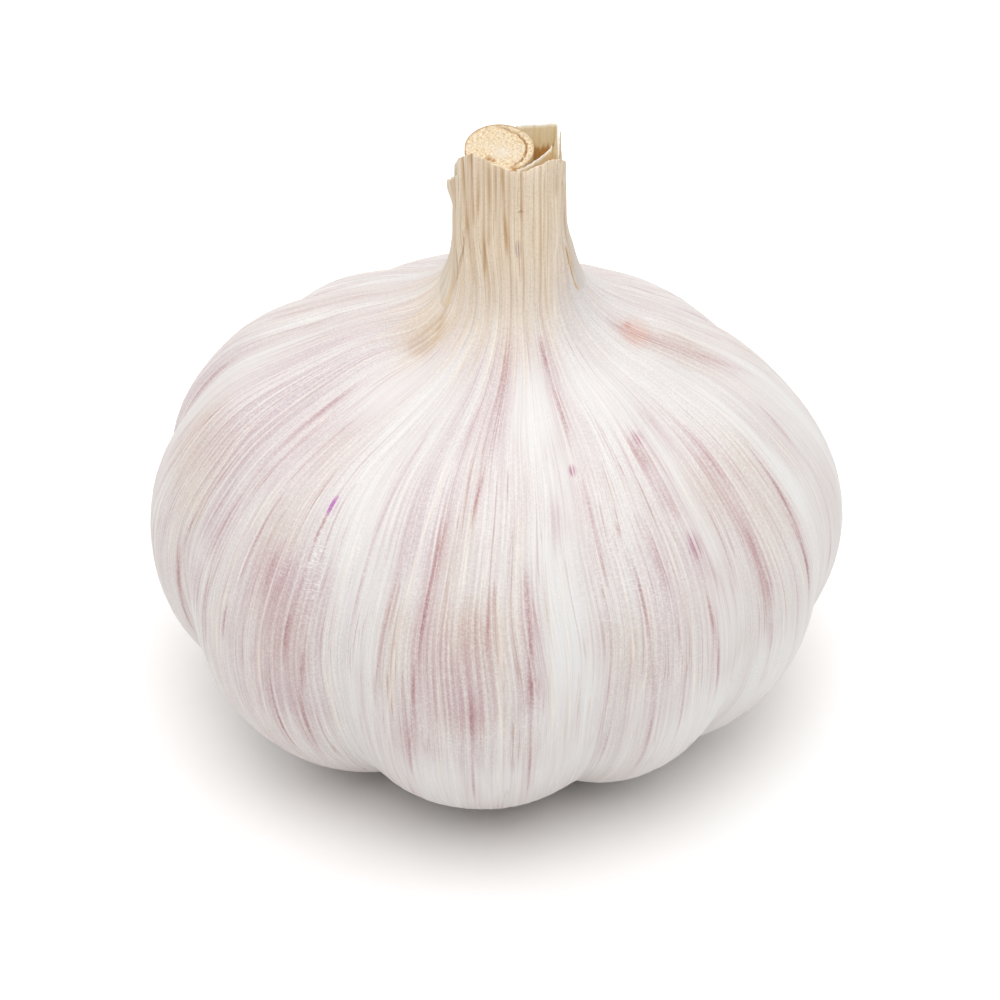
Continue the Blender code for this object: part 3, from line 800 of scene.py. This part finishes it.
def place_right_leaf(across, up):
    """The right leaf end: it grows out of the shoulder, and a sliver stands at its tip."""
    foot, tip = 40.8, 60
    height = foot + (tip - foot) * up
    start = np.interp(
        height, [40.8, 41.6, 43, 44.5, 46, 47.3, 50, 52.5, 54.5, 60],
        [80, 73, 66, 63.5, 63, 64.5, 68, 66, 60.5, 62.6],
    )
    end = np.interp(height, [40.8, 46, 50, 53, 55.5, 60], [122, 108, 102, 94, 66.5, 63.2])
    skin = start + (end - start) * across
    lift = 0.09 * ease(across / 0.3) * ramp(across, 1, 0.8) * ramp(height, 50, 46)
    lift -= 0.5 * ramp(up, 0.13, 0) + 0.3 * ramp(across, 0.9, 1) * ramp(height, 52, 50)
    lift -= 0.35 * ramp(across, 0.22, 0) * ramp(height, 47, 48) * ramp(height, 54.6, 53.6)
    placed, around, along, blanched, stained = leaf_on_neck(skin, height, lift)
    placed[:, 0] -= 0.15 * ramp(height, 54, 56)
    # Painted shade: a golden brown line in the gap along the leaf's front edge.
    shaded = 0.9 * ramp(across, 0.06, 0.02) * ramp(height, 42, 43.5) * ramp(height, 48.5, 46.5)
    return placed, around, along, blanched, np.maximum(stained, shaded)


# The neck leaf's stain colour also paints the shade in the gap along the right leaf's front edge.
neck_leaf = make_dry_leaf("neck_leaf", (0.48, 0.3, 0.14), beige_valley, beige_ridge, (0.66, 0.45, 0.22))
left_leaf = lay_leaf("left_leaf_end", neck_leaf, 150, 60, place_left_leaf, 0.1)
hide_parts("left_neck_leaf")
right_leaf = lay_leaf("right_leaf_end", neck_leaf, 110, 60, place_right_leaf, 0.07)
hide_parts("right_neck_leaf")

# ----------------------------------------
# Folded sheath. The base of an inner leaf that stands in the neck beside the stalk: a thin
# wall round the back and the right, and a second one in front of a narrow hollow.
# ----------------------------------------
sheath_foot = 46
sheath_back_line = [
    (1.5, 3), (2.6, 3.15), (3.8, 3.1), (4.75, 2.95), (5, 2.6), (5, 1.6), (5.05, 0.4), (5.1, -1),
]
sheath_front_line = [(1.6, -2.75), (2.4, -2.35), (3.2, -1.6), (3.9, -0.7), (4.35, 0.1), (4.5, 0.7)]


def place_sheath(line, rise, lean, seed):
    """Give the places of a sheath wall that stands on a line and has a ragged top."""
    line = smooth_line(line, 12)
    travelled = np.concatenate([[0], np.cumsum(np.hypot(*np.diff(line, axis=0).T))])

    def place(across, up):
        """Stand the wall up, drawn in a little towards its foot."""
        step = across * travelled[-1]
        x, y = np.interp(step, travelled, line[:, 0]), np.interp(step, travelled, line[:, 1])
        ragged = fibre_ribs(across * 90, across * 0, 12, 90, 12, seed)
        top = np.interp(across, *np.array(rise).T) + 0.05 * ragged
        height = sheath_foot + (top - sheath_foot) * up
        around = across * travelled[-1] * 11 + seed * 40
        swelling = 0.02 * fibre_ribs(around, height, 20, 70, 10, seed + 1)
        aside = lean * ease((top - height) / 2.5) * ramp(across, 0.45, 0.6)
        x = x + 0.7 * swelling - 0.1 * ramp(height, 52, 48) * x - aside
        y = y + swelling - 0.1 * ramp(height, 52, 48) * y
        # Painted shade: the left part of the back wall is brown below a torn line, in the hollow behind the front
        # wall. The front wall gets an even tan stain.
        torn = top - 1.9 + 0.15 * fibre_ribs(around, height * 0, 20, 90, 8, seed + 2)
        shaded = np.where(lean > 0, ease((torn - height) / 0.4) * ramp(across, 0.52, 0.47), 0.3)
        return np.stack([x, y, height], axis=-1), around, travel(height), 0 * up, shaded

    return place


# Its last colour is the brown painted shade of the hollow, and also the tan of the front wall.
sheath_paper = make_dry_leaf(
    "sheath_paper", (0.92, 0.63, 0.34), (0.99, 0.76, 0.46), (1, 0.84, 0.58), (0.6, 0.34, 0.12), 0.35,
)
sheath = lay_leaf(
    "folded_sheath", sheath_paper, 120, 30,
    place_sheath(sheath_back_line, [(0, 55.8), (0.3, 55.9), (0.47, 56.1), (0.7, 55.9), (1, 55.2)], 0.4, 3), 0.14,
)
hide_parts("inner_sheath")
sheath_front = lay_leaf(
    "sheath_front", sheath_paper, 80, 30,
    place_sheath(sheath_front_line, [(0, 54.9), (0.4, 55.15), (0.8, 55.25), (1, 55.2)], 0, 5), 0.12,
)

# ----------------------------------------
# Cut flower stalk. The stub of the stiff stem in the middle of the neck, cut across on a
# slight slope. Its cut face shows coarse, dry pith, a thin brown rind, and on the right a
# crack where the rind's outer layer has come away.
# ----------------------------------------
stalk_radius = 2.88
stalk_length = 11.5
stalk_top = 55.35
cut_slope = 0.21
crack_radius = 2.52


def make_stalk_pith():
    """Coarse dry pith with pale crumbs and brown specks, and a brown rind."""
    material, tree, shader = new_material("stalk_pith")
    place = add_node(tree, "ShaderNodeAttribute", attribute_name="grain").outputs["Vector"]
    crumbs = mottle(tree, place, 4200, 4, 0.8)
    blotches = mottle(tree, place, 900, 2)
    pith = tint(tree, stretch(tree, crumbs, 0.38, 0.58), (0.6, 0.41, 0.19), (0.92, 0.79, 0.59))
    pith = tint_by(
        tree, pith, (blotches, 0.45, 0.65, 0, 0.4, (0.8, 0.7, 0.58)),
        (crumbs, 0.34, 0.26, 0, 0.8, (0.45, 0.26, 0.1)),
    )
    pith = tint(tree, multiply(tree, read_layer(tree, "heart"), 0.55), pith, (0.84, 0.77, 0.68))
    pith = tint(tree, read_layer(tree, "rind"), pith, (0.44, 0.22, 0.06))
    finish(tree, shader, pith, crumbs, 0.7, 0.9, crumbs, 0.7, 0.3 * MM, 0.25)
    return material


def make_stalk():
    """Roll up the stub, slope its cut face, and give the face its crumbs, crack and pits."""
    face = [(radius, 0) for radius in np.linspace(0, stalk_radius, 58)]
    side = [(stalk_radius, -0.12), (stalk_radius - 0.02, -0.5)]
    side += [(stalk_radius - 0.05, -depth) for depth in (1.5, 3, 5, 8, stalk_length)]
    foot = [(1.2, -stalk_length), (0, -stalk_length)]
    piece = make_piece("cut_flower_stalk", roll_up(face + side + foot, 260), make_stalk_pith())
    mesh = piece.data
    points, radius, around = read_points(mesh)
    on_face = points[:, 2] > -0.01
    grain = points * MM
    grain[:, 2] *= np.where(on_face, 1, 0.06)
    write_layers(mesh, grain=grain)
    ring = np.hypot(points[:, 0] + 0.26, points[:, 1] - 0.06)
    wobble = np.array([noise.noise(Vector((x * 1.4, y * 1.4, 3))) for x, y, _ in points])
    crumbs = np.array([noise.fractal(Vector((x * 4, y * 4, 0)), 0.7, 2.2, 4) for x, y, _ in points])
    on_right = ease((np.cos(np.radians(around - 102)) - 0.05) / 0.4)
    crack = bell(ring + 0.14 * wobble + 0.05 * crumbs, crack_radius, 0.08) * on_right
    crack = crack * (0.75 + 0.8 * crumbs).clip(0, 1)
    pits = np.zeros(len(points))
    for x, y, size in ((-0.85, -1.15, 0.26), (-0.5, -1.35, 0.2), (1.3, -2.35, 0.3)):
        pits = np.maximum(pits, bell(np.hypot(points[:, 0] - x, points[:, 1] - y), 0, size))
    crumbs = crumbs * ease((stalk_radius - 0.08 - radius) / 0.1)
    lowered = 0.07 * crumbs - 0.3 * crack - 0.25 * pits * (0.7 + crumbs)
    lowered = lowered + 0.1 * bell(radius, stalk_radius, 0.12)
    points[:, 2] += np.where(on_face, lowered, 0)
    points[:, 2] += stalk_top + np.where(points[:, 2] > -2, cut_slope * points[:, 1], 0)
    points[:, 0] += 0.14 + np.where(on_face, 0, 0.02 * np.cos(np.radians(around) * 40))
    move_points(mesh, points * MM)
    browner = 0.45 + 0.55 * ease((np.cos(np.radians(around + 130)) + 0.5) / 0.8)
    edge = bell(radius, stalk_radius, 0.07) * browner
    rind = np.where(on_face, edge + 1.5 * crack + pits, 0.35).clip(0, 1)
    heart = bell(np.hypot(points[:, 0] - 0.35, points[:, 1] + 0.35), 0, 0.9)
    write_layers(mesh, rind=rind, heart=heart)
    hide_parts("flower_stalk")


make_stalk()

# ----------------------------------------
# Root plate. The woody disc under the bulb that the leaves grow from, with the stubs of
# its dry roots, trimmed short and flush where the bulb stands.
# ----------------------------------------


def make_root_wood():
    """Dry brown wood, grey and dusty in places, paler on the trimmed ends."""
    material, tree, shader = new_material("root_wood")
    place = add_node(tree, "ShaderNodeTexCoord").outputs["Object"]
    grit = mottle(tree, place, 2600, 5, 0.7)
    patches = mottle(tree, place, 500, 2)
    wood = tint(tree, stretch(tree, grit, 0.35, 0.65), (0.24, 0.15, 0.08), (0.52, 0.4, 0.26))
    wood = tint_by(tree, wood, (patches, 0.45, 0.65, 0, 0.5, (0.5, 0.44, 0.36)))
    wood = tint(tree, multiply(tree, read_layer(tree, "trimmed"), 0.7), wood, (0.66, 0.54, 0.38))
    finish(tree, shader, wood, grit, 0.75, 0.95, grit, 0.8, 0.4 * MM, 0.2)
    return material


def make_root_plate(material):
    """Roll up the disc and roughen it."""
    outline = [(radius, 1.1) for radius in np.linspace(0, 7.9, 26)]
    outline += [(8.3, 1.25), (8.55, 1.6), (8.6, 2), (8.3, 2.3), (6, 2.65), (3, 2.7), (0, 2.7)]
    piece = make_piece("root_disc", roll_up(outline, 120), material)
    mesh = piece.data
    points, radius, _ = read_points(mesh)
    rough = np.array([noise.fractal(Vector((x * 0.9, y * 0.9, z * 0.9)), 0.6, 2.1, 5) for x, y, z in points])
    under = 0.35 * rough - 0.5 * ramp(radius, 3, 8) + 0.3
    points[:, 2] += np.where(points[:, 2] < 1.3, under, 0.05 * rough)
    points[:, :2] *= (1 + 0.02 * rough)[:, None]
    move_points(mesh, points * MM)
    write_layers(mesh, trimmed=np.zeros(len(points)))
    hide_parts("root_plate")


def make_root_stubs(material):
    """Set the trimmed roots in the disc: short, bent, tapered stubs that end on the table."""
    dice = np.random.default_rng(5)
    stub_count = 130
    stub_top = 1.9
    golden_turn = 2.39996
    shape = bmesh.new()
    for index in range(stub_count):
        radius = 7.7 * math.sqrt((index + 0.5) / stub_count)
        turn = index * golden_turn + dice.normal(0, 0.15)
        lean = 0.12 * radius + dice.normal(0, 0.15)
        width = dice.uniform(0.26, 0.46)
        ring = bmesh.ops.create_circle(shape, cap_ends=True, segments=8, radius=width * 1.1)["verts"]
        top = Vector((radius * math.sin(turn), -radius * math.cos(turn), stub_top))
        bmesh.ops.translate(shape, verts=ring, vec=top)
        faces = list(ring[0].link_faces)
        for share in (0.35, 0.7, 1):
            moved = bmesh.ops.extrude_face_region(shape, geom=faces)
            if share > 0.35:
                bmesh.ops.delete(shape, geom=faces, context="FACES_ONLY")
            faces = [part for part in moved["geom"] if isinstance(part, bmesh.types.BMFace)]
            corners = [part for part in moved["geom"] if isinstance(part, bmesh.types.BMVert)]
            step = Vector((math.sin(turn), -math.cos(turn), 0)) * lean * 0.4
            middle = sum((corner.co for corner in corners), Vector()) / len(corners)
            level = stub_top - (stub_top - 0.02) * share
            for corner in corners:
                corner.co = middle + (corner.co - middle) * 0.97 + step
                corner.co.z = level
    bmesh.ops.recalc_face_normals(shape, faces=shape.faces)
    piece = make_piece("root_stubs", shape, material)
    mesh = piece.data
    points, _, _ = read_points(mesh)
    write_layers(mesh, trimmed=points[:, 2] < 0.1)
    move_points(mesh, points * MM)


root_wood = make_root_wood()
make_root_plate(root_wood)
make_root_stubs(root_wood)

# ----------------------------------------
# Table and light. A white table in an even white room that is brightest overhead, with
# one soft light above the front.
# ----------------------------------------
table_shape = bmesh.new()
bmesh.ops.create_grid(table_shape, x_segments=1, y_segments=1, size=3)
table_mesh = bpy.data.meshes.new("table")
table_shape.to_mesh(table_mesh)
table_shape.free()
table = bpy.data.objects.new("table", table_mesh)
bpy.context.scene.collection.objects.link(table)
table_finish, _, table_shader = new_material("table_white")
table_shader.inputs["Base Color"].default_value = (0.93, 0.92, 0.91, 1)
table_shader.inputs["Roughness"].default_value = 0.9
table_mesh.materials.append(table_finish)

room = bpy.data.worlds.new("room")
room.use_nodes = True
room_way = add_node(room.node_tree, "ShaderNodeTexCoord").outputs["Generated"]
room_rise = measure(room.node_tree, "DOT_PRODUCT", room_way, (-0.03, 0.25, 1.9))
room_fall = calculate(room.node_tree, "ADD", room_rise, -0.12, clamp=False)
room_glow = calculate(room.node_tree, "MAXIMUM", room_fall, 0, clamp=False)
room.node_tree.links.new(room_glow, room.node_tree.nodes["Background"].inputs["Strength"])
room.node_tree.nodes["Background"].inputs["Color"].default_value = (1, 1, 1, 1)
bpy.context.scene.world = room

softbox = bpy.data.lights.new("key", "AREA")
softbox.size = 0.7
softbox.energy = 3.2
hung = bpy.data.objects.new("key", softbox)
hung.location = (0.03, -0.42, 0.9)
hung.rotation_euler = (Vector((0, 0, 0.02)) - hung.location).to_track_quat("-Z", "Y").to_euler()
bpy.context.scene.collection.objects.link(hung)

bpy.context.scene.view_settings.view_transform = "Standard"
